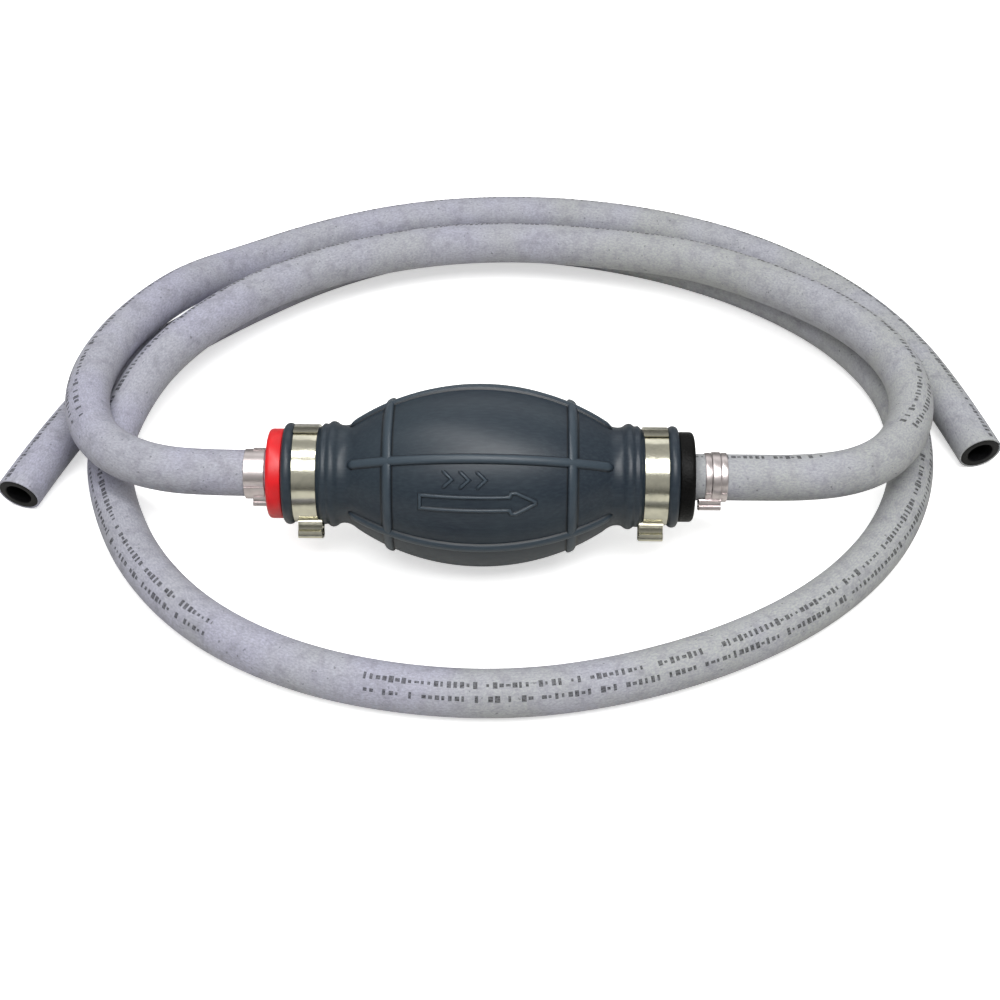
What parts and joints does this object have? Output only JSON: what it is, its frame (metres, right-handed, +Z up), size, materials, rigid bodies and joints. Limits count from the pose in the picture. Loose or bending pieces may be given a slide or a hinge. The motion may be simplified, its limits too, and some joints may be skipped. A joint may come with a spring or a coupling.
{
  "type": "outboard fuel line",
  "caption": "Grey fuel line with a black squeeze primer bulb, red inlet and black outlet fittings, and steel ear clamps.",
  "frame": {"origin": "on the ground under the middle of the squeeze bulb, at the bottom centre of everything but the hoses", "axes": "+X along the bulb's axis in the direction the fuel flows, from the red inlet to the black outlet; +Y towards the back, where the hoses cross; +Z up"},
  "size_m": [0.3645, 0.2911, 0.063],
  "materials": {
    "bulb_rubber": "matte moulded",
    "red_plastic": "semi-gloss",
    "black_plastic": "fine-grained",
    "acetal": "satin",
    "seal_rubber": "matte",
    "spring_steel": "bright",
    "stainless": "bright rolled",
    "hose_cover": "matte, cloth-marked",
    "hose_liner": "smooth"
  },
  "bodies": {
    "line": {"bulb_body": "bulb_rubber", "inlet_end_fitting": "red_plastic", "outlet_end_fitting": "black_plastic", "inlet_spring_retainer": "acetal", "outlet_seat_ring": "acetal", "inlet_bulb_clamp": "stainless", "outlet_bulb_clamp": "stainless", "inlet_hose_clamp": "stainless", "outlet_hose_clamp": "stainless", "inlet_hose": "hose_cover", "outlet_hose": "hose_cover", "inlet_hose_liner": "hose_liner", "outlet_hose_liner": "hose_liner", "inlet_valve_spring": "spring_steel", "outlet_valve_spring": "spring_steel"},
    "squeeze_panel": {"bulb_squeeze_panel": "bulb_rubber"},
    "inlet_valve": {"inlet_poppet": "acetal", "inlet_poppet_seal": "seal_rubber"},
    "outlet_valve": {"outlet_poppet": "acetal", "outlet_poppet_seal": "seal_rubber"}
  },
  "joints": [
    {"name": "bulb_squeeze", "type": "slide", "parent": "line", "child": "squeeze_panel", "axis": [0, 0, -1], "range_m": [0, 0.012], "stiffness_N_per_m": 900},
    {"name": "inlet_valve_lift", "type": "slide", "parent": "line", "child": "inlet_valve", "axis": [1, 0, 0], "range_m": [0, 0.0025], "stiffness_N_per_m": 40, "deforming": ["inlet_valve_spring"]},
    {"name": "outlet_valve_lift", "type": "slide", "parent": "line", "child": "outlet_valve", "axis": [1, 0, 0], "range_m": [0, 0.0025], "stiffness_N_per_m": 40, "deforming": ["outlet_valve_spring"]}
  ]
}
